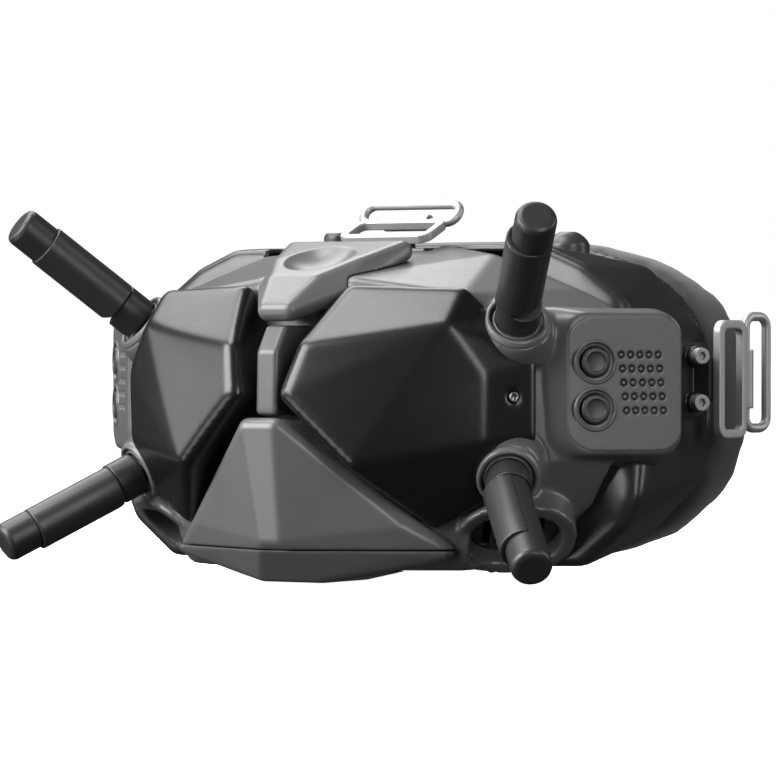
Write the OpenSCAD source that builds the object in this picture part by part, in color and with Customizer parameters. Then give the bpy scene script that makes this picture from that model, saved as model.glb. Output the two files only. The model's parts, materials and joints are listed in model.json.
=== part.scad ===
// First person view goggles: hollow faceted housing, two dark visor lobes, four folding
// antennas, padded face frame, side and top strap fittings, and the optics inside.
// Units are millimetres. X points to the wearer's left, Y to the wearer, Z up.
// The origin lies in the rear face of the face plate, midway between the eyepieces.

/* [Housing] */
// Wall thickness of the front shell and the rear frame
wall = 2.5; // [2:0.1:3]
// Thickness of the visor, nose and brow covers
cover_wall = 2; // [1.6:0.1:2.4]
// Assembly gap between neighbouring covers
gap = 0.3; // [0.2:0.05:0.5]

/* [Face] */
// Half width of the face plate
face_half_w = 83; // [80:1:84]
// Height of the face plate above the eye line
face_up = 43; // [41:1:44]
// Depth of the face plate below the eye line
face_down = 46; // [44:1:47]
// Thickness of the foam at the centre
foam_depth = 12; // [9:1:16]
// Width of the foam ring
foam_w = 13; // [10:1:15]

/* [Optics] */
// Distance between the eyepiece axes at the middle setting
eye_distance = 64; // [62:1:66]
// Outer radius of an eyepiece barrel
barrel_r = 19; // [17:0.5:20]

/* [Antennas] */
// Outer diameter of an antenna
antenna_d = 12; // [11:0.5:12.5]
// Length of an antenna from its port to its tip
antenna_len = 44; // [38:1:50]
// Diameter of the port spigot that the collar turns on
spigot_d = 5.6; // [5:0.1:6]
// Rest fold of the lower right antenna
fold_lower_right = 9; // [0:1:12]

/* [Strap fittings] */
// Outer height of a side strap ring
side_ring_h = 32; // [28:1:34]
// Outer width of the top strap ring
top_ring_w = 29; // [27:1:30]
// Diameter of the loop wire
wire_d = 2.6; // [2.2:0.1:2.8]

/* [Side controls] */
// Diameter of a side button
button_d = 8; // [7:0.5:8.5]
// Diameter of one vent hole in the side panel
vent_d = 1.8; // [1.4:0.1:2.2]

/* [Hidden] */
$fn = 48;
soft_fn = 16;
shell_r = 4;
shell_in_r = shell_r - wall;
cover_r = 3;
cover_in_r = cover_r - cover_wall;
plate_t = 3;
// Lip of the rear frame: how far it reaches in front of and behind the shell edge, and the
// edge radius of its inner side
lip_depth = 3;
lip_back = 1.8;
lip_in_r = 0.5;
foam_bow_r = 330;
far = 200;

// Where the front shell ends: low, on the sides, behind the side panels, on the top tongue
edge_low_y = -46;
edge_low_z = -16;
edge_y = -38;
edge_panel_y = -33;
edge_top_y = -28;
edge_top_x = 38;

// Dish in the brow cover: centre and radius of its sphere
dish_at = [0, -75.5, 50.8];
dish_r = 17;

// Antenna ports on the right half: position, turn outward and lift
port_up = [60, -68.5, 21];
port_up_turn = 38;
port_up_lift = 37;
port_low = [59, -71.5, -21];
port_low_turn = 34;
port_low_lift = -26;
// The fold side faces outward and down, this far round from straight down
fold_side = 45;
port_ring_r = antenna_d / 2 + 1.8;
collar_len = 8;
pivot_w = 11.5;
pivot_pin_d = 1.6;
knuckle_r = 4.4;
fold_max = 35;
core_r = antenna_d / 2 - 0.5;
sleeve_shift = 0.9;
sleeve_end = antenna_len - 9.5;
running = 0.05;

// Status sensor on the outer flank of the right visor
sensor_at = [60.7, -71.4, 0.5];
sensor_turn = 57;
sensor_d = 2.8;

// Side panel frame on the right half; along the panel the left one has its order reversed
panel_at = [80.8, -46.3, 4];
panel_turn = 48;
panel_w = 30.4;
panel_h = 36;
panel_t = 4;
panel_proud = 1;
button_u = -9;
button_rows = [5.7, -6.8];
vent_u = 4.2;
vent_v = 0.2;
// Each vent row below the middle one sits further back by this share of its drop
vent_slant = 0.1;
vent_pitch_u = 2.6;
vent_pitch_v = 3.7;

// Controls in the top of the rear frame
joystick_at = [44, -12, 0];
joystick_d = 12;
top_button_at = [-30, -12, 0];
top_button_d = 9;
flange_w = 1.2;
flange_t = 1.6;

// Air intake frame on the right half
intake_at = [54, -59, -37];
intake_turn = 38;
intake_lift = -48;
intake_w = 25;
intake_h = 19;
intake_r = 9;
intake_rim_w = 4;
intake_rim_top = 1.5;

// Strap fittings
ring_at = [92.9, -9.7, 5];
ring_turn = -8;
ring_w = 13;
ring_t = 2.4;
ring_bar = 2.4;
knuckle_back = 1.6;
knuckle_in = 0.8;
top_knuckle_in = -0.6;
loop_w = 11;
loop_up = 1.8;
loop_open = 8;
top_ring_at = [0, -32.5, 45.6];
top_ring_tilt = 22;
top_ring_l = 13.5;
top_loop_l = 33;
top_loop_w = 9;
top_loop_open = 30;
bracket_x = 83.05;
screw_at = [86, -18.5];
screw_turn = 55;
screw_rows = [11.3, -1.3];
boss_top = 3.4;

// Power socket: centre of its mouth on the right half before mirroring, and its tilt
power_at = [74.2, -22, -34.4];
power_tilt = 135;
socket_d = 10;
socket_bore = 5.6;
socket_depth = 6.2;

// Optics
barrel_front = -32;
barrel_back = -4;
rod_z = 23.5;
rod_y = -26;
rod_d = 3;
rod_half = 58;
eye_travel = 3;

blk = [0.07, 0.07, 0.08];
dark = [0.12, 0.12, 0.13];
mid = [0.42, 0.42, 0.43];
light = [0.62, 0.62, 0.63];
steel = [0.7, 0.7, 0.72];
foam_col = [0.09, 0.09, 0.09];
board_col = [0.05, 0.22, 0.12];
glass_col = [0.55, 0.62, 0.68];

// One ball of a rounded hull on the right half
module ball(p, r) {
  translate(p) sphere(r = r, $fn = soft_fn);
}

// The same ball on both halves
module both(p, r) {
  ball(p, r);
  ball([-p[0], p[1], p[2]], r);
}

// Children on the right half (1) or mirrored to the left half (-1)
module on_side(side) {
  if (side > 0) {
    children();
  } else {
    mirror([1, 0, 0]) children();
  }
}

// Rounded rectangle centred on the origin
module rounded_rect(w, h, r) {
  square([w - 2 * r, h], center = true);
  square([w, h - 2 * r], center = true);
  for (sx = [-1, 1], sy = [-1, 1]) {
    translate([sx * (w / 2 - r), sy * (h / 2 - r)]) circle(r = r);
  }
}

// Filled front shell; r sets how far the faces stand out, back moves the rear balls
module shell_solid(r, back = 0) {
  hull() {
    both([14, -75, 29], r);
    both([44, -69, 25], r);
    both([57.5, -64, 18], r);
    both([57.5, -64, -18], r);
    both([36, -69, -31], r);
    both([14, -80, -42], r);
    both([42, -66, -42], r);
    both([58, -52, -34], r);
    both([86.5, -31 + back, 15], r);
    both([86.5, -31 + back, -10], r);
    both([60, -40 + back, 26], r);
    both([36, -40 + back, 35], r);
    both([14, -30 + back, 38], r);
    both([60, -34 + back, -33], r);
    both([30, -34 + back, -43], r);
  }
}

// Space that belongs to the front shell; the rear frame starts behind it
module shell_zone(g) {
  translate([-far, -far, -far]) cube([2 * far, far + edge_low_y + g, 2 * far]);
  translate([-far, -far, edge_low_z - g]) cube([2 * far, far + edge_y + g, 2 * far]);
  translate([-far, -far, edge_low_z - g]) cube([2 * far, far + edge_panel_y + g, 36 + 2 * g]);
  translate([-edge_top_x - g, -far, 20]) cube([2 * edge_top_x + 2 * g, far + edge_top_y + g, far]);
}

// Filled rear frame, a wide rim between the front shell and the face plate
module frame_solid(r, back = 0) {
  hull() {
    both([80, -32, 12], r);
    both([71, -34, 26], r);
    both([61, -34, 33.5], r);
    both([50, -34, 38.2], r);
    both([22, -36, 38.9], r);
    both([80, -41, -26], r);
    both([76.5, -42, -33], r);
    both([65, -42, -42.3], r);
    both([30, -42, -43], r);
    both([80, -5 + back, 16], r);
    both([80, -5 + back, -20], r);
    both([64, -5 + back, 33], r);
    both([64, -5 + back, -36], r);
    both([34, -5 + back, 39], r);
    both([34, -5 + back, -42.5], r);
  }
}

// Filled visor lobe on the right half
module visor_solid(r, back = 0) {
  hull() {
    ball([11.7, -95, 13.2], r);
    ball([8.6, -99, 1.3], r);
    ball([26, -94.2, -16.2], r);
    ball([46, -80.6, 18.6], r);
    ball([54, -76.2, 6], r);
    ball([53.6, -76, -11], r);
    ball([61, -65.5, 10], r);
    ball([61, -65.5, -10], r);
    ball([17.4, -81.5, 27.4], r);
    ball([46, -73.5, 26.5], r);
    ball([38.6, -74.5, -31.6], r);
    ball([53, -69, -24], r);
    ball([14, -66 + back, 22], r);
    ball([10, -66 + back, 0], r);
    ball([34, -62 + back, -27], r);
    ball([52, -58 + back, 0], r);
  }
}

// Filled nose cover with the lower edge, both halves
module nose_solid(r) {
  hull() {
    both([4, -99.5, -8], r);
    both([2.4, -93.6, -37], r);
    both([9, -84, -46.4], r);
    both([30, -81.5, -33.5], r);
    both([29, -79, -39.5], r);
    both([40, -72.5, -40.5], r);
    both([8, -70, -12], r);
    both([34, -60, -39.5], r);
    both([9, -62, -46.4], r);
  }
}

// Filled brow cover, both halves
module brow_solid(r) {
  hull() {
    both([3.4, -91, 23.5], r);
    both([6.5, -82.3, 30.4], r);
    both([12.5, -70, 35.2], r);
    both([12, -77.5, 29], r);
    both([17, -56, 39.6], r);
    both([6, -56, 30], r);
  }
}

// Local frame of a port on the right half: Z leaves the port, -Y is the fold side
module at_port(upper) {
  at = upper ? port_up : port_low;
  turn = upper ? port_up_turn : port_low_turn;
  lift = upper ? port_up_lift : port_low_lift;
  translate(at) rotate([90 - lift, 0, turn]) rotate([0, 0, fold_side]) children();
}

// Local frame of an antenna body folded about the pivot
module folded(fold) {
  translate([0, 0, pivot_w]) rotate([fold, 0, 0]) translate([0, 0, -pivot_w]) children();
}

// Local frame of the side panel: X runs back along the panel, Z points out
module at_panel() {
  translate(panel_at) rotate([90, 0, panel_turn]) children();
}

// Room of the side panel, wider by g and deeper by g
module panel_room(g) {
  at_panel() translate([0, 0, panel_proud - panel_t - g])
    linear_extrude(height = far) rounded_rect(panel_w + 2 * g, panel_h + 2 * g, 6);
}

// Local frame of the air intake: Z points out
module at_intake() {
  translate(intake_at) rotate([90 - intake_lift, 0, intake_turn]) children();
}

// Local frame of the status sensor: Z leaves the visor
module at_sensor() {
  translate(sensor_at) rotate([90, 0, sensor_turn]) children();
}

// Clearance around all antenna ports on the right half
module port_space(extra) {
  for (upper = [true, false]) {
    at_port(upper) translate([0, 0, -9]) cylinder(r = port_ring_r + extra, h = 29);
  }
}

// Raised rim round one air intake, grown by g
module intake_rim(g) {
  grow = 2 * intake_rim_w + 2 * g;
  translate([0, 0, intake_rim_top - 8 - g])
    linear_extrude(height = 8 + 2 * g)
      rounded_rect(intake_w + grow, intake_h + grow, intake_r + grow / 2);
}

// Hole through the rim
module intake_hole() {
  translate([0, 0, -12])
    linear_extrude(height = 24) rounded_rect(intake_w, intake_h, intake_r);
}

module front_shell() {
  color(mid) difference() {
    union() {
      intersection() {
        difference() {
          shell_solid(shell_r);
          shell_solid(shell_in_r, 6);
        }
        shell_zone(0);
      }
      for (side = [1, -1]) {
        on_side(side) difference() {
          at_intake() intake_rim(0);
          visor_solid(cover_r + gap);
        }
      }
    }
    for (side = [1, -1]) {
      on_side(side) port_space(0.1);
      on_side(side) panel_room(0.1);
      on_side(side) at_intake() intake_hole();
    }
    // Seat of the top strap saddle
    translate([-15, -40, 38]) cube([30, 20, 8]);
  }
}

// Filled inside of the rear frame
module frame_hollow() {
  frame_solid(3 - wall + 0.4, 6);
}

// Lip that reaches inside the rear edge of the front shell, and the web that joins it to the frame
module frame_lip() {
  difference() {
    intersection() {
      shell_solid(shell_in_r - gap / 2, 6);
      shell_zone(lip_back);
    }
    intersection() {
      shell_solid(lip_in_r, 6);
      shell_zone(0.2);
    }
    difference() {
      frame_hollow();
      shell_zone(0.2);
    }
    shell_zone(-lip_depth);
    for (side = [1, -1]) {
      on_side(side) panel_room(0.3);
      on_side(side) port_space(0.3);
    }
  }
}

module rear_frame() {
  color(dark) difference() {
    union() {
      difference() {
        frame_solid(3);
        frame_hollow();
        shell_zone(0.2);
        intersection() {
          shell_solid(lip_in_r, 6);
          translate([-far, -far, -far]) cube([2 * far, far + edge_top_y + 0.2, 2 * far]);
        }
      }
      frame_lip();
    }
    translate([-far, -plate_t, -far]) cube([2 * far, far, 2 * far]);
    for (side = [1, -1]) {
      on_side(side) at_intake() intake_rim(0.2);
    }
    // Slots of the two eye distance sliders
    for (side = [1, -1]) {
      translate([side * eye_distance / 2, -18, -44]) cube([22, 8.4, 14], center = true);
    }
    // Bores of the top controls
    translate([joystick_at[0], joystick_at[1], 30]) cylinder(d = joystick_d + 0.2, h = 20);
    translate([top_button_at[0], top_button_at[1], 30]) cylinder(d = top_button_d + 0.2, h = 20);
    at_power() translate([0, 0, -10]) cylinder(d = socket_d + 0.2, h = 20);
    translate([-15, -40, 38]) cube([30, 20, 8]);
  }
}

// Outline of the face plate, a rounded oval that is wider than high
function face_point(a, grow) = let (
    c = cos(a),
    s = sin(a),
    x = (face_half_w + grow) * sign(c) * pow(abs(c), 0.62),
    z = ((s > 0 ? face_up : face_down) + grow) * sign(s) * pow(abs(s), 0.80)
  ) [x, z];

module face_outline(grow) {
  polygon([for (i = [0:71]) face_point(i * 5, grow)]);
}

// Opening for the wearer's nose at the lower edge
module nose_notch(w, h) {
  polygon([[-w, -far], [-w, -face_down], [-6, -face_down + h], [6, -face_down + h], [w, -face_down], [w, -far]]);
}

module face_plate() {
  color(blk) rotate([90, 0, 0]) difference() {
    linear_extrude(height = plate_t) difference() {
      face_outline(0);
      nose_notch(17, 26);
    }
    for (side = [1, -1]) {
      translate([side * eye_distance / 2, 0, -1])
        linear_extrude(height = plate_t + 2)
          rounded_rect(2 * (barrel_r + eye_travel + 0.6), 2 * (barrel_r + 0.6), barrel_r);
    }
  }
}

module face_foam() {
  color(foam_col) difference() {
    translate([0, 0.2, 0]) rotate([90, 0, 0]) mirror([0, 0, 1])
      linear_extrude(height = 40) difference() {
        face_outline(2);
        difference() {
          face_outline(-foam_w);
          nose_notch(30, 33);
        }
        nose_notch(13, 17);
      }
    foam_back();
  }
}

// Space behind the foam: a wide upright cylinder that leaves the foam deeper at the temples
module foam_back() {
  intersection() {
    translate([-far, foam_depth, -far]) cube([2 * far, 60, 2 * far]);
    translate([0, foam_depth + foam_bow_r, -far]) cylinder(r = foam_bow_r, h = 2 * far, $fn = 180);
  }
}

module visor(side) {
  color(blk) on_side(side) difference() {
    visor_solid(cover_r);
    visor_solid(cover_in_r, 6);
    shell_solid(shell_r + gap / 2);
    port_space(0.6);
    at_sensor() cylinder(d = sensor_d + 0.1, h = 16, center = true);
  }
}

module visor_right() {
  visor(1);
}

module visor_left() {
  visor(-1);
}

// Shallow dish in the top of the brow cover, grown by g
module brow_dish(g) {
  translate(dish_at) sphere(r = dish_r + g);
}

module brow_cover() {
  color(light) difference() {
    brow_solid(cover_r);
    difference() {
      brow_solid(cover_in_r);
      brow_dish(cover_wall);
    }
    brow_dish(0);
    shell_solid(shell_r + gap / 2);
    visor_solid(cover_r + gap);
    mirror([1, 0, 0]) visor_solid(cover_r + gap);
  }
}

module bridge_cover() {
  color(mid) difference() {
    hull() {
      both([2, -92, 18], 1.5);
      both([2, -96, 12], 1.5);
      both([2, -96.5, -3], 1.5);
      both([2, -70, 18], 1.5);
      both([2, -70, -3], 1.5);
    }
    shell_solid(shell_r + gap / 2);
    visor_solid(cover_r + gap);
    mirror([1, 0, 0]) visor_solid(cover_r + gap);
    brow_solid(cover_r + gap);
    nose_solid(cover_r + gap);
  }
}

// Plane that parts the nose cover from the lower cover
module below_parting(g) {
  translate([-far, -far, -far]) cube([2 * far, 2 * far, far - 40.5 + g]);
}

module nose_cover() {
  color(light) difference() {
    nose_solid(cover_r);
    nose_solid(cover_in_r);
    shell_solid(shell_r + gap / 2);
    visor_solid(cover_r + gap);
    mirror([1, 0, 0]) visor_solid(cover_r + gap);
    below_parting(gap);
  }
}

module lower_cover() {
  color(mid) difference() {
    intersection() {
      nose_solid(cover_r);
      below_parting(0);
    }
    nose_solid(cover_in_r);
    shell_solid(shell_r + gap / 2);
  }
}

module side_panel(side) {
  color(mid) on_side(side) at_panel() difference() {
    translate([0, 0, panel_proud - panel_t])
      linear_extrude(height = panel_t) rounded_rect(panel_w, panel_h, 6);
    for (v = button_rows) {
      translate([side * button_u, v, -panel_t]) cylinder(d = button_d + 0.2, h = 2 * panel_t);
      translate([side * button_u, v, -panel_t]) cylinder(d = button_d + 1.8, h = panel_t - 1);
      translate([side * button_u, v, panel_proud - 0.6]) cylinder(d = button_d + 2.4, h = 2);
    }
    for (i = [-2:2], j = [-2:2]) {
      translate([
        side * vent_u + i * vent_pitch_u - vent_slant * j * vent_pitch_v,
        vent_v + j * vent_pitch_v,
        -panel_t
      ]) cylinder(d = vent_d, h = 2 * panel_t, $fn = 24);
    }
  }
}

module side_panel_right() {
  side_panel(1);
}

module side_panel_left() {
  side_panel(-1);
}

module side_button(side, row) {
  color(blk) on_side(side) at_panel() translate([side * button_u, button_rows[row], 0]) {
    translate([0, 0, -1.3]) cylinder(d = button_d, h = 2.3 + panel_proud - 0.4);
    translate([0, 0, -2.1]) cylinder(d = button_d + 1.2, h = 0.9);
  }
}

module button_right_upper() {
  side_button(1, 0);
}

module button_right_lower() {
  side_button(1, 1);
}

module button_left_upper() {
  side_button(-1, 0);
}

module button_left_lower() {
  side_button(-1, 1);
}

module intake_grilles() {
  bars = 5;
  color(blk) for (side = [1, -1]) {
    on_side(side) difference() {
      at_intake() translate([0, 0, -5]) difference() {
        linear_extrude(height = 1.6) rounded_rect(intake_w - 0.4, intake_h - 0.4, intake_r - 0.2);
        for (i = [0:bars - 1]) {
          translate([(i - (bars - 1) / 2) * 3.6, 0, 0.8]) cube([2, intake_h - 5, 3], center = true);
        }
      }
      port_space(0.3);
    }
  }
}

module status_sensor() {
  color(steel) at_sensor() difference() {
    translate([0, 0, -2.2]) cylinder(d = sensor_d, h = 2.5);
    translate([0, 0, -1]) cylinder(d = sensor_d / 2, h = 4);
  }
}

// One port: moulded ring, threaded spigot and back nut in one turned part
module port() {
  difference() {
    translate([0, 0, -7]) cylinder(r = port_ring_r, h = 7);
    translate([0, 0, -1.2]) difference() {
      cylinder(r = port_ring_r - 0.8, h = 2);
      cylinder(r = antenna_d / 2 - 0.9, h = 2);
    }
  }
  translate([0, 0, -1]) cylinder(d = spigot_d, h = 7);
}

module antenna_ports() {
  color(mid) for (side = [1, -1]) {
    on_side(side) at_port(true) port();
    on_side(side) at_port(false) port();
  }
}

// Collar: turns on the spigot and carries the round knuckle of the fold pivot
module collar() {
  difference() {
    union() {
      difference() {
        translate([0, 0, 0.4]) cylinder(d = antenna_d, h = collar_len - 0.4);
        fold_relief(collar_len, -1);
      }
      translate([0, 0, pivot_w]) sphere(r = knuckle_r);
      translate([0, 0, collar_len - 2]) cylinder(r = knuckle_r - 1.4, h = 3);
    }
    translate([0, 0, -1]) cylinder(d = spigot_d + 2 * running, h = 7.4);
    translate([-antenna_d, 0, pivot_w]) rotate([0, 90, 0])
      cylinder(d = pivot_pin_d + 2 * running, h = 2 * antenna_d);
  }
}

// Wedge cut on the fold side: over the collar (dir -1) or under the body (dir 1)
module fold_relief(w, dir) {
  translate([0, -0.5, w]) rotate([dir > 0 ? -fold_max / 2 - 1 : fold_max / 2 + 1, 0, 0])
    translate([-antenna_d, -2 * antenna_d, dir > 0 ? -antenna_d : 0])
      cube([2 * antenna_d, 2 * antenna_d, antenna_d]);
}

// Room inside the foot for the knuckle and its neck at every fold angle
module knuckle_room() {
  translate([0, 0, pivot_w]) sphere(r = knuckle_r + running);
  for (a = [0, -fold_max / 2, -fold_max]) {
    translate([0, 0, pivot_w]) rotate([a, 0, 0]) translate([0, 0, -8])
      cylinder(r = knuckle_r - 1.1, h = 8);
  }
  fold_relief(collar_len + 0.3, 1);
}

// Core: foot round the knuckle, pin, and a long rod with a rounded end
module core() {
  edge = 1.6;
  difference() {
    rotate_extrude() polygon([
      [0, collar_len + 0.3],
      [core_r, collar_len + 0.3],
      [core_r, antenna_len - edge],
      [core_r - 0.3 * edge, antenna_len - 0.3 * edge],
      [core_r - edge, antenna_len],
      [0, antenna_len]
    ]);
    knuckle_room();
  }
  translate([-core_r + 0.6, 0, pivot_w]) rotate([0, 90, 0])
    cylinder(d = pivot_pin_d, h = 2 * core_r - 1.2);
}

// Sleeve: outer skin set off toward the inner front side of the core
module sleeve() {
  difference() {
    rotate([0, 0, -fold_side]) translate([-sleeve_shift, -0.2 * sleeve_shift, collar_len + 0.3])
      cylinder(d = antenna_d, h = sleeve_end - collar_len - 0.3);
    translate([0, 0, collar_len - 1]) cylinder(r = core_r + running, h = antenna_len);
    fold_relief(collar_len + 0.3, 1);
  }
}

module antenna_collar_upper_right() {
  color(blk) at_port(true) collar();
}

module antenna_collar_upper_left() {
  color(blk) on_side(-1) at_port(true) collar();
}

module antenna_collar_lower_right() {
  color(blk) at_port(false) collar();
}

module antenna_collar_lower_left() {
  color(blk) on_side(-1) at_port(false) collar();
}

module antenna_core_upper_right() {
  color(blk) at_port(true) core();
}

module antenna_core_upper_left() {
  color(blk) on_side(-1) at_port(true) core();
}

module antenna_core_lower_right() {
  color(blk) at_port(false) folded(fold_lower_right) core();
}

module antenna_core_lower_left() {
  color(blk) on_side(-1) at_port(false) core();
}

module antenna_sleeve_upper_right() {
  color(dark) at_port(true) sleeve();
}

module antenna_sleeve_upper_left() {
  color(dark) on_side(-1) at_port(true) sleeve();
}

module antenna_sleeve_lower_right() {
  color(dark) at_port(false) folded(fold_lower_right) sleeve();
}

module antenna_sleeve_lower_left() {
  color(dark) on_side(-1) at_port(false) sleeve();
}

module joystick_knob() {
  color(blk) translate(joystick_at) difference() {
    union() {
      translate([0, 0, 34]) cylinder(d = joystick_d, h = 8);
      translate([0, 0, 33]) cylinder(d = joystick_d + 2 * flange_w, h = flange_t);
      translate([0, 0, 39.2]) intersection() {
        sphere(r = 6.6);
        cylinder(d = joystick_d, h = 10);
      }
    }
    translate([0, 0, 45.4]) cylinder(d = 4, h = 2);
  }
}

module top_button() {
  color(blk) translate(top_button_at) {
    translate([0, 0, 33]) cylinder(d = top_button_d + 2 * flange_w, h = flange_t);
    translate([0, 0, 34]) cylinder(d = top_button_d, h = 11);
    translate([0, 0, 45]) cylinder(d1 = top_button_d, d2 = top_button_d - 1.4, h = 1);
  }
}

// Local frame of a bracket screw: Z leaves the head, forward and outward
module at_screw(z) {
  translate([screw_at[0], screw_at[1], z]) rotate([90, 0, screw_turn]) children();
}

module strap_bracket(side) {
  color(blk) on_side(side) difference() {
    union() {
      // Foot on the rear frame, arm to the ring, and two screw bosses
      translate([bracket_x, -25, -5]) cube([2.6, 15, 20]);
      translate([bracket_x, -17.5, -1]) cube([9, 4, 12]);
      for (z = screw_rows) {
        at_screw(z) translate([0, 0, -3]) cylinder(d = 5.4, h = 3 + boss_top);
      }
    }
    for (z = screw_rows) {
      at_screw(z) translate([0, 0, -3.2]) cylinder(d = 2.6, h = 10);
    }
    translate([bracket_x - 20, -50, -25]) cube([20, 60, 60]);
    at_side_ring() translate([-20, -20, -ring_t / 2 - 40.05]) cube([40, 40, 40 + ring_t + 0.05]);
  }
}

module strap_bracket_right() {
  strap_bracket(1);
}

module strap_bracket_left() {
  strap_bracket(-1);
}

// Cap screw with a hex socket
module bracket_screw() {
  difference() {
    union() {
      translate([0, 0, -2.6]) cylinder(d = 2.5, h = 2.6 + boss_top + 0.5);
      translate([0, 0, boss_top]) cylinder(d = 4.4, h = 2.4);
    }
    translate([0, 0, boss_top + 1]) cylinder(d = 2.2, h = 2, $fn = 6);
  }
}

module bracket_screws() {
  color(steel) for (side = [1, -1], z = screw_rows) {
    on_side(side) at_screw(z) bracket_screw();
  }
}

// Flat slotted ring with a knuckle for the loop wire; X along the slot, Y across
module slotted_ring(l, w, knuckle) {
  difference() {
    union() {
      translate([0, 0, -ring_t / 2]) linear_extrude(height = ring_t) rounded_rect(l, w, 3.4);
      translate([-l / 4, w / 2 + knuckle_back, knuckle]) rotate([0, 90, 0])
        cylinder(d = wire_d + 2, h = l / 2);
    }
    translate([0, 0, -ring_t]) linear_extrude(height = 2 * ring_t)
      rounded_rect(l - 2 * ring_bar, w - 2 * ring_bar, 1.6);
    translate([-l, w / 2 + knuckle_back, knuckle]) rotate([0, 90, 0])
      cylinder(d = wire_d + 2 * running, h = 2 * l);
  }
}

// Closed wire loop with its pivot bar on the X axis, lying toward +Y
module wire_loop(l, w) {
  bend = 3;
  half_l = l / 2 - wire_d / 2;
  run_w = w - wire_d;
  for (y = [0, run_w]) {
    translate([-half_l + bend, y, 0]) rotate([0, 90, 0])
      cylinder(d = wire_d, h = 2 * half_l - 2 * bend, $fn = 32);
  }
  for (s = [-1, 1]) {
    translate([s * half_l, bend, 0]) rotate([-90, 0, 0])
      cylinder(d = wire_d, h = run_w - 2 * bend, $fn = 32);
    translate([s * (half_l - bend), bend, 0]) rotate([0, 0, s > 0 ? -90 : 180])
      rotate_extrude(angle = 90) translate([bend, 0]) circle(d = wire_d, $fn = 32);
    translate([s * (half_l - bend), run_w - bend, 0]) rotate([0, 0, s > 0 ? 0 : 90])
      rotate_extrude(angle = 90) translate([bend, 0]) circle(d = wire_d, $fn = 32);
  }
}

// Local frame of a side ring: X up along the slot, Y to the rear, Z inward
module at_side_ring() {
  translate(ring_at) rotate([0, 0, ring_turn]) rotate([0, -90, 0]) children();
}

module strap_ring(side) {
  color(steel) on_side(side) at_side_ring() slotted_ring(side_ring_h, ring_w, knuckle_in);
}

module strap_ring_right() {
  strap_ring(1);
}

module strap_ring_left() {
  strap_ring(-1);
}

module strap_loop(side) {
  color(steel) on_side(side) at_side_ring()
    translate([loop_up, ring_w / 2 + knuckle_back, knuckle_in])
      rotate([-loop_open, 0, 0]) wire_loop(side_ring_h + 1, loop_w);
}

module strap_loop_right() {
  strap_loop(1);
}

module strap_loop_left() {
  strap_loop(-1);
}

// Local frame of the top ring: X along the slot, Y to the rear and up, Z up
module at_top_ring() {
  translate(top_ring_at) rotate([top_ring_tilt, 0, 0]) children();
}

module strap_saddle_top() {
  color(blk) difference() {
    union() {
      translate([-14.5, -39.8, 38.2]) cube([29, 19.6, 2.6]);
      translate([-9, -40, 41]) cube([18, 4.8, 4]);
    }
    at_top_ring() translate([-40, -30, -ring_t / 2]) cube([80, 60, 20]);
  }
}

module strap_ring_top() {
  color(steel) at_top_ring() slotted_ring(top_ring_w, top_ring_l, top_knuckle_in);
}

module strap_loop_top() {
  color(steel) at_top_ring()
    translate([0, top_ring_l / 2 + knuckle_back, top_knuckle_in])
      rotate([top_loop_open, 0, 0]) wire_loop(top_loop_l, top_loop_w);
}

module eyepiece(side) {
  lug = 6;
  color(blk) translate([side * eye_distance / 2, 0, 0]) {
    difference() {
      union() {
        translate([0, barrel_front, 0]) rotate([-90, 0, 0]) cylinder(r = barrel_r, h = barrel_back - barrel_front + 3.4);
        for (s = [-1, 1]) {
          translate([-7, rod_y - lug / 2, s * (rod_z - 2.5) - 3.5]) cube([14, lug, 7]);
        }
        // Stem and thumb pad of the eye distance slider
        translate([-2, -20, -42]) cube([4, 4, 42]);
        translate([-5.5, -22, -46]) cube([11, 8, 4]);
      }
      translate([0, barrel_front - 1, 0]) rotate([-90, 0, 0]) cylinder(r = barrel_r - 2, h = 40);
      for (s = [-1, 1]) {
        translate([-20, rod_y, s * rod_z]) rotate([0, 90, 0]) cylinder(d = rod_d + 2 * running, h = 40);
      }
    }
  }
}

module eyepiece_right() {
  eyepiece(1);
}

module eyepiece_left() {
  eyepiece(-1);
}

module eye_lens(side) {
  lens_r = barrel_r - 2.05;
  color(glass_col) translate([side * eye_distance / 2, -7, 0]) rotate([-90, 0, 0]) {
    cylinder(r = lens_r, h = 2.4);
    translate([0, 0, 2.4]) intersection() {
      translate([0, 0, -42]) sphere(r = 45.6, $fn = 96);
      cylinder(r = lens_r - 0.6, h = 6);
    }
  }
}

module lens_right() {
  eye_lens(1);
}

module lens_left() {
  eye_lens(-1);
}

module display(side) {
  color(dark) translate([side * eye_distance / 2, barrel_front - 3.1, 0]) cube([36, 6, 30], center = true);
}

module display_right() {
  display(1);
}

module display_left() {
  display(-1);
}

module optics_rods() {
  color(steel) for (s = [-1, 1]) {
    translate([-rod_half, rod_y, s * rod_z]) rotate([0, 90, 0]) cylinder(d = rod_d, h = 2 * rod_half);
  }
  color(blk) for (side = [1, -1], s = [-1, 1]) {
    translate([side * rod_half - 3, rod_y - 3, s * rod_z - 3]) difference() {
      cube([6, -rod_y + 3 - plate_t, 6]);
    }
  }
}

module main_board() {
  color(board_col) translate([-42, -52, -20]) cube([84, 1.6, 44]);
}

module heat_sink() {
  fins = 9;
  color(steel) {
    translate([-24, -56, 0]) cube([48, 3.9, 22]);
    for (i = [0:fins - 1]) {
      translate([-24 + i * 46.5 / (fins - 1), -64, 0]) cube([1.5, 9, 22]);
    }
  }
}

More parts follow.
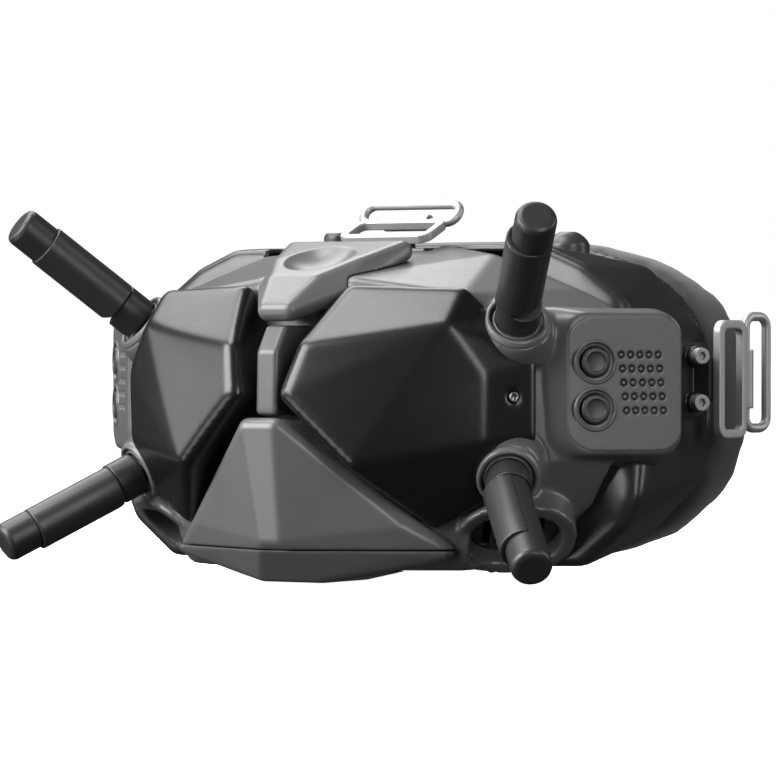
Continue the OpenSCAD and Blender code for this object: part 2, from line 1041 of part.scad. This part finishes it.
module fan_housing() {
  color(blk) translate([0, -64, -16]) rotate([-90, 0, 0]) difference() {
    linear_extrude(height = 8) rounded_rect(28, 26, 3);
    translate([0, 0, 1.4]) cylinder(r = 11.6, h = 8);
    for (a = [45:90:315]) {
      rotate([0, 0, a]) translate([8, 0, -1]) cylinder(r = 2.6, h = 4);
    }
    translate([0, 0, -1]) cylinder(d = 2.1, h = 12);
  }
}

module fan_rotor() {
  blades = 7;
  color(dark) translate([0, -64, -16]) rotate([-90, 0, 0]) {
    translate([0, 0, 2]) cylinder(r = 5, h = 5);
    translate([0, 0, 0.2]) cylinder(d = 2, h = 2);
    for (i = [0:blades - 1]) {
      rotate([0, 0, i * 360 / blades]) translate([4.5, -0.5, 2.4]) rotate([12, 0, 0]) cube([6, 1, 4]);
    }
  }
}

// Local frame of the power socket: Z leaves the rim on the left, outward and down
module at_power() {
  on_side(-1) translate(power_at) rotate([0, power_tilt, 0]) children();
}

module power_socket() {
  color(blk) at_power() difference() {
    translate([0, 0, -7]) cylinder(d = socket_d, h = 7.6);
    translate([0, 0, 0.6 - socket_depth]) cylinder(d = socket_bore, h = socket_depth + 1);
  }
}

front_shell();
rear_frame();
face_plate();
face_foam();
visor_right();
visor_left();
brow_cover();
bridge_cover();
nose_cover();
lower_cover();
side_panel_right();
side_panel_left();
intake_grilles();
status_sensor();
antenna_ports();
antenna_collar_upper_right();
antenna_collar_upper_left();
antenna_collar_lower_right();
antenna_collar_lower_left();
antenna_core_upper_right();
antenna_core_upper_left();
antenna_core_lower_right();
antenna_core_lower_left();
antenna_sleeve_upper_right();
antenna_sleeve_upper_left();
antenna_sleeve_lower_right();
antenna_sleeve_lower_left();
button_right_upper();
button_right_lower();
button_left_upper();
button_left_lower();
joystick_knob();
top_button();
strap_bracket_right();
strap_bracket_left();
bracket_screws();
strap_ring_right();
strap_ring_left();
strap_saddle_top();
strap_ring_top();
strap_loop_right();
strap_loop_left();
strap_loop_top();
eyepiece_right();
eyepiece_left();
lens_right();
lens_left();
display_right();
display_left();
optics_rods();
main_board();
heat_sink();
fan_housing();
fan_rotor();
power_socket();
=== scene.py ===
"""Looks of the first person view goggles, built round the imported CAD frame. Metres, Z up."""

import json
import math

import bmesh
import bpy
from mathutils import Matrix, Vector


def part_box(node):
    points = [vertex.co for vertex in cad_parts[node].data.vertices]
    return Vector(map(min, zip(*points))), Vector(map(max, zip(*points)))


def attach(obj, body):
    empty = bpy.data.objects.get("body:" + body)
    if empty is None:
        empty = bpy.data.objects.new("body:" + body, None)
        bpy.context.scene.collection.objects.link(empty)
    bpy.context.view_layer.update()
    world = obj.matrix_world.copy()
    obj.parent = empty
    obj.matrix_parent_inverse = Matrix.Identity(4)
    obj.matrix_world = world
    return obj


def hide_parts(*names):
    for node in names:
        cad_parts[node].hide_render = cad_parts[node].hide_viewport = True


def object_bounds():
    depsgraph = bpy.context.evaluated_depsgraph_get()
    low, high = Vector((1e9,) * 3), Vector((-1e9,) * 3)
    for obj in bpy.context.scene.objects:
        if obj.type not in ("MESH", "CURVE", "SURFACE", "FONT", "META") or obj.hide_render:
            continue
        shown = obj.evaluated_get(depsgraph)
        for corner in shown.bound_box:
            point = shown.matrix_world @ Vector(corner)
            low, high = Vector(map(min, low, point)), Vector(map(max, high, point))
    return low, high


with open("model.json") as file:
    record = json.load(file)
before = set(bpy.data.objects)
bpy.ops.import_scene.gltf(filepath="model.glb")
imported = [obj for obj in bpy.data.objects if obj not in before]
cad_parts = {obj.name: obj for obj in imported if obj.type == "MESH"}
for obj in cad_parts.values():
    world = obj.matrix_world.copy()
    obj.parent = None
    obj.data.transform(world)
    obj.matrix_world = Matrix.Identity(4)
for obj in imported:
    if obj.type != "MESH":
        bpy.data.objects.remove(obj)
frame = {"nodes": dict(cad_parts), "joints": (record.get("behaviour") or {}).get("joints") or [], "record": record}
NODES = frame["nodes"]
JOINTS = {j["name"]: j for j in frame["joints"]}
BODY_OF = {n: b for b, ns in frame["record"]["behaviour"]["bodies"].items() for n in ns}
SLOT_OF = {s["node"]: s["material_slot"] for s in frame["record"]["subparts"]}
CAD_LO, CAD_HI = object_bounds()
MM = 0.001
SIDES = {"right": 1, "left": -1}

# ------------------------------------------------------------------ camera, light, stage
LOOK_AT = Vector((0, -0.070, 0))
CAM_AZIMUTH = 32.0
CAM_ELEVATION = 0.6
CAM_DISTANCE = 1.30
CAM_LENS = 223.1
# where the look-at point lies in the frame, as shares of its width from the centre
CAM_SHIFT = (0.0861, 0.0125)
FILL_STRENGTH = 0.045
LIGHT_DISTANCE = 1.2
FLOOR_GAP = 0.0005
# azimuth and elevation in degrees, width and height in metres, power in watts
LIGHTS = {
    "key_left": (-35, 27, 0.95, 0.85, 30),
    "side_left": (-75, 8, 0.52, 0.52, 2.5),
    "top_left_rear": (-120, 50, 1.2, 0.6, 11),
    "top_front": (-50, 70, 0.6, 0.5, 9),
    "side_right": (61, 16, 0.40, 0.80, 5.0),
    "rim_right": (118, 18, 0.30, 0.80, 4.0),
    "below_left": (-32, -20, 0.8, 0.4, 3),
}


def back_vector(azimuth, elevation):
    a, e = math.radians(azimuth), math.radians(elevation)
    return Vector((math.sin(a) * math.cos(e), -math.cos(a) * math.cos(e), math.sin(e)))


def make_camera():
    data = bpy.data.cameras.new("camera")
    data.lens = CAM_LENS
    data.sensor_width = 36
    data.shift_x, data.shift_y = CAM_SHIFT
    data.clip_start, data.clip_end = 0.05, 20
    cam = bpy.data.objects.new("camera", data)
    bpy.context.scene.collection.objects.link(cam)
    back = back_vector(CAM_AZIMUTH, CAM_ELEVATION)
    cam.location = LOOK_AT + back * CAM_DISTANCE
    cam.rotation_mode = "QUATERNION"
    cam.rotation_quaternion = (-back).to_track_quat("-Z", "Y")
    bpy.context.scene.camera = cam


def area_light(name, azimuth, elevation, width, height, watts):
    data = bpy.data.lights.new(name, "AREA")
    data.shape = "RECTANGLE"
    data.size, data.size_y = width, height
    data.energy = watts
    lamp = bpy.data.objects.new(name, data)
    bpy.context.scene.collection.objects.link(lamp)
    back = back_vector(azimuth, elevation)
    lamp.location = LOOK_AT + back * LIGHT_DISTANCE
    lamp.rotation_mode = "QUATERNION"
    lamp.rotation_quaternion = (-back).to_track_quat("-Z", "Y")
    lamp.visible_camera = False


def make_world():
    world = bpy.data.worlds.new("studio")
    bpy.context.scene.world = world
    world.use_nodes = True
    nodes, links = world.node_tree.nodes, world.node_tree.links
    nodes.clear()
    out = nodes.new("ShaderNodeOutputWorld")
    mix = nodes.new("ShaderNodeMixShader")
    path = nodes.new("ShaderNodeLightPath")
    seen, fill = nodes.new("ShaderNodeBackground"), nodes.new("ShaderNodeBackground")
    seen.inputs["Color"].default_value = (1, 1, 1, 1)
    seen.inputs["Strength"].default_value = 1.0
    fill.inputs["Color"].default_value = (1, 1, 1, 1)
    fill.inputs["Strength"].default_value = FILL_STRENGTH
    links.new(path.outputs["Is Camera Ray"], mix.inputs["Fac"])
    links.new(fill.outputs[0], mix.inputs[1])
    links.new(seen.outputs[0], mix.inputs[2])
    links.new(mix.outputs[0], out.inputs["Surface"])


def make_floor():
    """A white floor that the lights shine through, so its own glow is its whole tone."""
    lowest = CAD_LO.z - FLOOR_GAP
    bpy.ops.mesh.primitive_plane_add(size=30, location=(0, 0, lowest))
    floor = bpy.context.object
    floor.name = "floor"
    mat = bpy.data.materials.new("floor")
    mat.use_nodes = True
    bsdf = mat.node_tree.nodes["Principled BSDF"]
    bsdf.inputs["Base Color"].default_value = (0.9, 0.9, 0.9, 1)
    bsdf.inputs["Roughness"].default_value = 0.9
    bsdf.inputs["Emission Color"].default_value = (1, 1, 1, 1)
    bsdf.inputs["Emission Strength"].default_value = 1.0
    floor.data.materials.append(mat)
    floor.visible_glossy = False
    floor.visible_diffuse = False
    floor.visible_shadow = False


# ------------------------------------------------------------------ materials
def finish_material(name, base, rough, metal=0.0, grain=(2600, 0.10), vary=0.10, edge_highlight=0.25,
                    rough_vary=0.06):
    """A moulded or machined finish: fine grain bump, drifting colour and gloss, and sharp edges lightened as a
    painted highlight.
    """
    mat = bpy.data.materials.new(name)
    mat.use_nodes = True
    nodes, links = mat.node_tree.nodes, mat.node_tree.links
    bsdf = nodes["Principled BSDF"]
    bsdf.inputs["Metallic"].default_value = metal
    place = nodes.new("ShaderNodeTexCoord")

    def noise(scale, detail):
        n = nodes.new("ShaderNodeTexNoise")
        n.inputs["Scale"].default_value = scale
        n.inputs["Detail"].default_value = detail
        links.new(place.outputs["Object"], n.inputs["Vector"])
        return n

    drift = noise(45, 3)
    tone = nodes.new("ShaderNodeMixRGB")
    tone.inputs["Color1"].default_value = (*[c * (1 - vary) for c in base], 1)
    tone.inputs["Color2"].default_value = (*[c * (1 + vary) for c in base], 1)
    links.new(drift.outputs["Fac"], tone.inputs["Fac"])
    # Painted highlight: sharp edges, found by pointiness, are mixed towards a paler copy of the colour
    edge = nodes.new("ShaderNodeNewGeometry")
    highlight_mask = nodes.new("ShaderNodeMapRange")
    highlight_mask.inputs["From Min"].default_value = 0.52
    highlight_mask.inputs["From Max"].default_value = 0.62
    highlight_mask.inputs["To Max"].default_value = edge_highlight
    links.new(edge.outputs["Pointiness"], highlight_mask.inputs["Value"])
    highlit_edge = nodes.new("ShaderNodeMixRGB")
    highlit_edge.inputs["Color2"].default_value = (*[min(1, 0.003 + c * 2.2) for c in base], 1)
    links.new(highlight_mask.outputs["Result"], highlit_edge.inputs["Fac"])
    links.new(tone.outputs["Color"], highlit_edge.inputs["Color1"])
    links.new(highlit_edge.outputs["Color"], bsdf.inputs["Base Color"])
    gloss = nodes.new("ShaderNodeMapRange")
    gloss.inputs["To Min"].default_value = rough - rough_vary
    gloss.inputs["To Max"].default_value = rough + rough_vary
    links.new(noise(320, 4).outputs["Fac"], gloss.inputs["Value"])
    links.new(gloss.outputs["Result"], bsdf.inputs["Roughness"])
    bump = nodes.new("ShaderNodeBump")
    bump.inputs["Strength"].default_value = grain[1]
    bump.inputs["Distance"].default_value = 0.00012
    links.new(noise(grain[0], 2).outputs["Fac"], bump.inputs["Height"])
    links.new(bump.outputs["Normal"], bsdf.inputs["Normal"])
    return mat


def fabric_material(name, base, weave=1500, rough=0.9):
    """A knitted skin: crossed waves as the weave, soft sheen, and a slow change of colour."""
    mat = bpy.data.materials.new(name)
    mat.use_nodes = True
    nodes, links = mat.node_tree.nodes, mat.node_tree.links
    bsdf = nodes["Principled BSDF"]
    bsdf.inputs["Roughness"].default_value = rough
    bsdf.inputs["Sheen Weight"].default_value = 0.25
    bsdf.inputs["Sheen Roughness"].default_value = 0.5
    place = nodes.new("ShaderNodeTexCoord")
    waves = []
    for axis in ("X", "Z"):
        wave = nodes.new("ShaderNodeTexWave")
        wave.bands_direction = axis
        wave.inputs["Scale"].default_value = weave / 6.28
        wave.inputs["Distortion"].default_value = 0.6
        links.new(place.outputs["Object"], wave.inputs["Vector"])
        waves.append(wave)
    cross = nodes.new("ShaderNodeMath")
    cross.operation = "MULTIPLY"
    links.new(waves[0].outputs["Fac"], cross.inputs[0])
    links.new(waves[1].outputs["Fac"], cross.inputs[1])
    drift = nodes.new("ShaderNodeTexNoise")
    drift.inputs["Scale"].default_value = 60
    links.new(place.outputs["Object"], drift.inputs["Vector"])
    tone = nodes.new("ShaderNodeMixRGB")
    tone.inputs["Color1"].default_value = (*[c * 0.7 for c in base], 1)
    tone.inputs["Color2"].default_value = (*[c * 1.4 for c in base], 1)
    links.new(drift.outputs["Fac"], tone.inputs["Fac"])
    links.new(tone.outputs["Color"], bsdf.inputs["Base Color"])
    bump = nodes.new("ShaderNodeBump")
    bump.inputs["Strength"].default_value = 0.14
    bump.inputs["Distance"].default_value = 0.00015
    links.new(cross.outputs["Value"], bump.inputs["Height"])
    links.new(bump.outputs["Normal"], bsdf.inputs["Normal"])
    return mat


def glass_material(name):
    mat = finish_material(name, (0.75, 0.8, 0.9), 0.04, rough_vary=0.02, vary=0.03, edge_highlight=0.0)
    bsdf = mat.node_tree.nodes["Principled BSDF"]
    bsdf.inputs["Transmission Weight"].default_value = 0.9
    bsdf.inputs["IOR"].default_value = 1.5
    return mat


MATERIALS = {
    "shell_grey": finish_material("shell_grey", (0.085, 0.085, 0.088), 0.31),
    "cover_grey": finish_material("cover_grey", (0.105, 0.105, 0.108), 0.32),
    "visor_black": finish_material("visor_black", (0.007, 0.007, 0.0075), 0.28, edge_highlight=0.0,
                                   vary=0.05, rough_vary=0.02),
    "frame_black": finish_material("frame_black", (0.020, 0.020, 0.021), 0.30),
    "port_grey": finish_material("port_grey", (0.12, 0.12, 0.123), 0.33),
    "antenna_black": finish_material("antenna_black", (0.020, 0.020, 0.021), 0.40),
    "antenna_sleeve": finish_material("antenna_sleeve", (0.026, 0.026, 0.027), 0.38),
    "button_black": finish_material("button_black", (0.03, 0.03, 0.031), 0.36),
    "strap_steel": finish_material("strap_steel", (0.36, 0.36, 0.365), 0.44, metal=0.55, edge_highlight=0.4,
                                   grain=(5200, 0.06)),
    "sensor_ring": finish_material("sensor_ring", (0.35, 0.35, 0.36), 0.3, metal=1.0),
    "display_glass": finish_material("display_glass", (0.012, 0.012, 0.014), 0.15),
    "board_green": finish_material("board_green", (0.02, 0.09, 0.045), 0.5),
    "heat_sink": finish_material("heat_sink", (0.5, 0.51, 0.53), 0.4, metal=1.0),
    "lens_glass": glass_material("lens_glass"),
    "face_foam": fabric_material("face_foam", (0.03, 0.03, 0.031), 3800, 0.62),
}


def dress(obj, slot):
    obj.data.materials.clear()
    obj.data.materials.append(MATERIALS[slot])


# ------------------------------------------------------------------ mesh helpers
def link(name, mesh):
    obj = bpy.data.objects.new(name, mesh)
    bpy.context.scene.collection.objects.link(obj)
    return obj


def smooth_shade(obj):
    obj.data.polygons.foreach_set("use_smooth", [True] * len(obj.data.polygons))


def bake_modifiers(obj):
    """Applies the object's modifiers to its mesh."""
    dg = bpy.context.evaluated_depsgraph_get()
    mesh = bpy.data.meshes.new_from_object(obj.evaluated_get(dg))
    obj.modifiers.clear()
    old = obj.data
    obj.data = mesh
    bpy.data.meshes.remove(old)


def remesh(obj, voxel, rounds, factor=0.5):
    """Makes one even closed skin of the mesh and rounds its edges."""
    mod = obj.modifiers.new("skin", "REMESH")
    mod.mode = "VOXEL"
    mod.voxel_size = voxel * MM
    mod = obj.modifiers.new("round", "SMOOTH")
    mod.factor = factor
    mod.iterations = rounds
    bake_modifiers(obj)
    smooth_shade(obj)


def node_mesh(node):
    """The CAD node's mesh as a closed bmesh."""
    bm = bmesh.new()
    bm.from_mesh(NODES[node].data)
    bmesh.ops.remove_doubles(bm, verts=bm.verts, dist=1e-6)
    return bm


def fillet(points, radius, steps=4):
    """Rounds every inner corner of an open profile of (r, z) points, in millimetres."""
    out = [points[0]]
    for i in range(1, len(points) - 1):
        before, corner, after = (Vector(points[i + k]) for k in (-1, 0, 1))
        cut = min(radius, (before - corner).length * 0.45, (after - corner).length * 0.45)
        a = corner + (before - corner).normalized() * cut
        b = corner + (after - corner).normalized() * cut
        for s in range(steps + 1):
            t = s / steps
            p = a * (1 - t) ** 2 + corner * 2 * t * (1 - t) + b * t ** 2
            out.append((p.x, p.y))
    out.append(points[-1])
    return out


def lathe_into(bm, profile, place, segments=64):
    """Turns a profile of (r, z) points in millimetres about Z and adds it, placed by a matrix."""
    rings = []
    for r, z in profile:
        if r < 1e-6:
            rings.append([bm.verts.new(place @ Vector((0, 0, z * MM)))])
            continue
        ring = []
        for k in range(segments):
            a = 2 * math.pi * k / segments
            ring.append(bm.verts.new(place @ (Vector((r * math.cos(a), r * math.sin(a), z)) * MM)))
        rings.append(ring)
    for low, high in zip(rings, rings[1:]):
        for k in range(segments):
            n = (k + 1) % segments
            if len(low) == 1 and len(high) == 1:
                break
            if len(low) == 1:
                bm.faces.new((low[0], high[n], high[k]))
            elif len(high) == 1:
                bm.faces.new((low[k], low[n], high[0]))
            else:
                bm.faces.new((low[k], low[n], high[n], high[k]))


def finish_mesh(name, bm):
    bmesh.ops.recalc_face_normals(bm, faces=bm.faces)
    mesh = bpy.data.meshes.new(name)
    bm.to_mesh(mesh)
    bm.free()
    obj = link(name, mesh)
    smooth_shade(obj)
    return obj


def lathe(name, profile, place, segments=64):
    bm = bmesh.new()
    lathe_into(bm, profile, place, segments)
    return finish_mesh(name, bm)


def stand_for(piece, node):
    """The piece replaces the CAD node, rides with it and takes its finish."""
    dress(piece, SLOT_OF[node])
    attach(piece, BODY_OF[node])
    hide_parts(node)
    return piece


def soft_copy(node, voxel, rounds, extra=None):
    """A skin over the CAD node's own shape with rounded edges; extra adds shapes to blend in."""
    bm = node_mesh(node)
    if extra:
        extra(bm)
    mesh = bpy.data.meshes.new(node + "_skin")
    bm.to_mesh(mesh)
    bm.free()
    piece = link(node + "_skin", mesh)
    remesh(piece, voxel, rounds)
    return stand_for(piece, node)


# ------------------------------------------------------------------ local frames of the details
# Side panel: thickness, how far it stands proud, width, height and corner radius, in millimetres
PANEL_T = 4.0
PANEL_PROUD = 1.0
PANEL_W = 30.4
PANEL_H = 36.0
PANEL_R = 6.0
# Vent holes: middle of the field, pitch in both directions, lean of a column, holes in a row
VENT_U, VENT_V = 4.2, 0.2
VENT_PITCH_U, VENT_PITCH_V = 2.6, 3.7
VENT_SLANT = 0.1
VENTS = 5
# Status sensor: bearing in degrees, length and how far it stands proud, in millimetres
SENSOR_TURN = 57
SENSOR_LEN = 2.5
SENSOR_PROUD = 0.3


def basis(x, y, z, origin):
    m = Matrix((x, y, z)).transposed().to_4x4()
    m.translation = origin
    return m


def port_frame(level, side):
    """Z leaves the port, X is the fold axis; the left ports are mirror images."""
    s = SIDES[side]
    swivel = JOINTS[f"swivel_{level}_{side}"]
    fold = JOINTS[f"fold_{level}_{side}"]
    z = Vector(swivel["axis"]) * s
    x = Vector(fold["axis"]) * s
    y = z.cross(x) * s
    return basis(x, y, z, Vector(swivel["pos_m"]))


def panel_frame(side):
    """X runs back along the side panel, Y is up, Z points out; the origin is level with the shell."""
    out = -Vector(JOINTS[f"press_{side}_upper"]["axis"])
    up = Vector((0, 0, 1))
    lo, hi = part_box(f"side_panel_{side}")
    x = up.cross(out) * SIDES[side]
    return basis(x, up, out, (lo + hi) / 2 + out * (PANEL_T / 2 - PANEL_PROUD) * MM)


def on_panel(side, node):
    """The panel's frame moved to the axis of a round piece in it."""
    frame_at = panel_frame(side)
    lo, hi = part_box(node)
    at = frame_at.inverted() @ ((lo + hi) / 2)
    return frame_at @ Matrix.Translation((at.x, at.y, 0))


def sensor_frame():
    """Z points out of the visor's flank at the status sensor."""
    turn = math.radians(SENSOR_TURN)
    out = Vector((math.sin(turn), -math.cos(turn), 0))
    up = Vector((0, 0, 1))
    lo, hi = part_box("status_sensor")
    return basis(up.cross(out), up, out, (lo + hi) / 2 + out * (SENSOR_LEN / 2 - SENSOR_PROUD) * MM)


# ------------------------------------------------------------------ pieces
def rounded_outline(lo_x, hi_x, lo_y, hi_y, r, steps=6):
    """Points of a rounded rectangle, counter-clockwise."""
    points = []
    for quarter, (x, y) in enumerate(((hi_x, hi_y), (lo_x, hi_y), (lo_x, lo_y), (hi_x, lo_y))):
        sx, sy = (1 if x == hi_x else -1), (1 if y == hi_y else -1)
        for k in range(steps + 1):
            a = math.radians(90 * quarter + 90 * k / steps)
            points.append((x - sx * r + r * math.cos(a), y - sy * r + r * math.sin(a)))
    return points


def closed_band(bm, loops, place):
    """A closed skin through loops of as many (x, y, z) points each, back to the first loop."""
    rings = [[bm.verts.new(place @ (Vector(point) * MM)) for point in loop] for loop in loops]
    count = len(rings[0])
    for a, b in zip(rings, rings[1:] + rings[:1]):
        for k in range(count):
            n = (k + 1) % count
            bm.faces.new((a[k], a[n], b[n], b[k]))


def pod_band(bm, side):
    """Raises the shell's flank smoothly to the side panel, with a crisp ridge on top and behind."""
    half_w, half_h = PANEL_W / 2, PANEL_H / 2
    foot = rounded_outline(-half_w - 11, half_w + 0.8, -half_h - 5, half_h + 2.5, 8)
    rim = rounded_outline(-half_w - 1.5, half_w + 0.3, -half_h - 0.8, half_h + 0.8, PANEL_R)
    hole = rounded_outline(-half_w + 0.5, half_w - 1.6, -half_h + 1.6, half_h - 1.6, PANEL_R - 1)
    sloped = [(x, y, -2.4 - 0.5 * max(0, abs(y) - 12)) for x, y in foot]
    level = [[(x, y, z) for x, y in outline] for outline, z in ((rim, 0.9), (hole, 0.9), (hole, -2.6))]
    closed_band(bm, [sloped, *level], panel_frame(side))


def shell_additions(bm):
    """What the skin of the front shell blends in: cones round the ports, bands round the panels."""
    flare = [(8.0, -8), (11.0, -8), (9.9, -3.2), (9.0, -1.2), (8.0, -1.2), (8.0, -8)]
    for side in SIDES:
        for level in ("upper", "lower"):
            lathe_into(bm, flare, port_frame(level, side))
        pod_band(bm, side)


def crown(piece, side, height):
    """Bows the visor's face outward in the middle, fading to nothing at its edges."""
    lo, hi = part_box(f"visor_{side}")
    mid, half = (lo + hi) / 2, (hi - lo) / 2
    out = Vector((VISOR_OUT[0] * SIDES[side], VISOR_OUT[1], 0))
    for vert in piece.data.vertices:
        across = (vert.co.x - mid.x) / half.x
        up = (vert.co.z - mid.z) / half.z
        vert.co += out * (height * MM * max(0, 1 - across ** 2) * max(0, 1 - up ** 2))


# Node, voxel size in millimetres and smoothing rounds of each plain skin
SHELL_SKINS = (
    ("brow_cover", 0.4, 5),
    ("nose_cover", 0.5, 6),
    ("bridge_cover", 0.35, 5),
    ("lower_cover", 0.5, 5),
    ("rear_frame", 0.8, 24),
    ("face_plate", 0.8, 3),
)
VISOR_CROWN = 1.5
VISOR_OUT = (0.45, -0.89)


def make_shells():
    soft_copy("front_shell", 0.7, 6, shell_additions)
    for side in SIDES:
        crown(soft_copy(f"visor_{side}", 0.65, 24), side, VISOR_CROWN)
    for node, voxel, rounds in SHELL_SKINS:
        soft_copy(node, voxel, rounds)


# ------------------------------------------------------------------ side panels
def fade(distance, width):
    """Smooth step from 0 at the edge to 1 at the width."""
    t = max(0.0, min(1.0, distance / width))
    return t * t * (3 - 2 * t)


def make_side_panel(side):
    """The panel lies level with the shell's raised flank; only its rear edge shows."""
    panel = soft_copy(f"side_panel_{side}", 0.28, 3)
    place = panel_frame(side)
    back = place.inverted()
    for vert in panel.data.vertices:
        p = back @ vert.co / MM
        p.x -= 1.4 * fade(-p.x - 12, 3)
        vert.co = place @ (p * MM)
    vents = bmesh.new()
    pin = fillet([(0, -2.4), (0.62, -2.4), (0.62, 0.75), (0.5, 0.95), (0, 0.95)], 0.12, 2)
    reach = VENTS // 2
    for i in range(-reach, reach + 1):
        for j in range(-reach, reach + 1):
            u = SIDES[side] * VENT_U + i * VENT_PITCH_U - VENT_SLANT * j * VENT_PITCH_V
            v = VENT_V + j * VENT_PITCH_V
            lathe_into(vents, pin, place @ Matrix.Translation(Vector((u, v, 0)) * MM), 16)
    core = finish_mesh(f"vent_cores_{side}", vents)
    dress(core, "shell_grey")
    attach(core, "goggles")
    rims = bmesh.new()
    rim = fillet([(4.55, 0.6), (5.0, 0.6), (5.05, 1.05), (5.35, 1.35), (5.75, 1.3), (6.1, 0.9),
                  (6.1, 0.4), (4.55, 0.4), (4.55, 0.6)], 0.12, 2)
    cap = fillet([(0, -2.1), (4.6, -2.1), (4.6, -1.25), (3.95, -1.25), (3.95, 1.15), (3.55, 1.55),
                  (2.75, 1.6), (2.5, 1.3), (0, 1.1)], 0.25)
    for row in ("upper", "lower"):
        node = f"button_{side}_{row}"
        at = on_panel(side, node)
        stand_for(lathe(f"cap_{side}_{row}", cap, at), node)
        lathe_into(rims, rim, at, 48)
    rim_piece = finish_mesh(f"button_rims_{side}", rims)
    dress(rim_piece, "shell_grey")
    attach(rim_piece, "goggles")


def make_ports():
    bm = bmesh.new()
    profile = fillet([
        (0, 6), (2.6, 6), (2.8, 5.6), (2.8, -1.4), (5.6, -1.4), (5.9, -0.2), (6.3, -0.2), (6.6, -1.3),
        (7.0, -1.3), (7.3, 0.2), (8.1, 0.2), (8.8, -0.9), (8.8, -6), (0, -6)], 0.35)
    for level in ("upper", "lower"):
        for side in SIDES:
            lathe_into(bm, profile, port_frame(level, side))
    stand_for(finish_mesh("antenna_ports_turned", bm), "antenna_ports")


def make_antennas():
    for part in ("collar", "core", "sleeve"):
        for level in ("upper", "lower"):
            for side in SIDES:
                soft_copy(f"antenna_{part}_{level}_{side}", 0.26, 4)


def make_fittings():
    for side in SIDES:
        soft_copy(f"strap_bracket_{side}", 0.25, 4)
        soft_copy(f"strap_ring_{side}", 0.25, 4)
        soft_copy(f"strap_loop_{side}", 0.25, 3)
        make_side_panel(side)
        soft_copy(f"eyepiece_{side}", 0.4, 3)
    soft_copy("strap_ring_top", 0.25, 4)
    soft_copy("strap_loop_top", 0.25, 3)
    soft_copy("strap_saddle_top", 0.3, 4)
    soft_copy("bracket_screws", 0.12, 3)
    sensor = fillet([(0, -2.4), (1.4, -2.4), (1.4, 0.1), (1.25, 0.3), (0.85, 0.3), (0.7, 0.1),
                     (0.7, -1.0), (0, -1.0)], 0.1, 3)
    stand_for(lathe("sensor_turned", sensor, sensor_frame(), 32), "status_sensor")
    soft_copy("joystick_knob", 0.3, 4)
    soft_copy("top_button", 0.3, 4)
    soft_copy("intake_grilles", 0.3, 3)


# Foam ring, in millimetres: how much smaller it starts, its voxel size, the furthest that a
# point may move, and how close to the face plate its points are held still
FOAM_SLIM = 0.9
FOAM_VOXEL = 3.2
FOAM_CAP = 1.6
FOAM_HELD = 1.5
FOAM_PRESSURE = 4.0
CLOTH_STEPS = 20


def swell(piece, pressure, cap, held_below):
    """Cloth pressure blows the skin up from inside; no point moves further than the cap."""
    start = [vert.co.copy() for vert in piece.data.vertices]
    held = piece.vertex_groups.new(name="held")
    held.add([i for i, co in enumerate(start) if co.y < held_below], 1.0, "REPLACE")
    mod = piece.modifiers.new("cloth", "CLOTH")
    mod.settings.vertex_group_mass = held.name
    mod.settings.use_pressure = True
    mod.settings.uniform_pressure_force = pressure
    mod.settings.effector_weights.gravity = 0
    scene = bpy.context.scene
    for step in range(1, CLOTH_STEPS + 1):
        scene.frame_set(step)
    bake_modifiers(piece)
    scene.frame_set(1)
    for vert, co in zip(piece.data.vertices, start):
        move = vert.co - co
        if move.length > cap:
            vert.co = co + move * (cap / move.length)


def make_foam():
    """The padded ring: a slightly smaller skin, swollen by cloth pressure, then refined."""
    bm = node_mesh("face_foam")
    mesh = bpy.data.meshes.new("foam")
    bm.to_mesh(mesh)
    bm.free()
    piece = link("face_cushion", mesh)
    slim = piece.modifiers.new("slim", "DISPLACE")
    slim.strength = -FOAM_SLIM * MM
    slim.mid_level = 0
    remesh(piece, FOAM_VOXEL, 6)
    swell(piece, FOAM_PRESSURE, FOAM_CAP * MM, FOAM_HELD * MM)
    mod = piece.modifiers.new("even", "SMOOTH")
    mod.iterations = 3
    mod = piece.modifiers.new("refine", "SUBSURF")
    mod.levels = mod.render_levels = 1
    bake_modifiers(piece)
    smooth_shade(piece)
    stand_for(piece, "face_foam")


def dress_the_rest():
    for node, obj in NODES.items():
        if not obj.hide_render:
            dress(obj, SLOT_OF[node])


make_camera()
make_world()
make_floor()
for light, settings in LIGHTS.items():
    area_light(light, *settings)
bpy.context.scene.view_settings.view_transform = "Standard"

make_shells()
make_ports()
make_antennas()
make_fittings()
make_foam()
dress_the_rest()
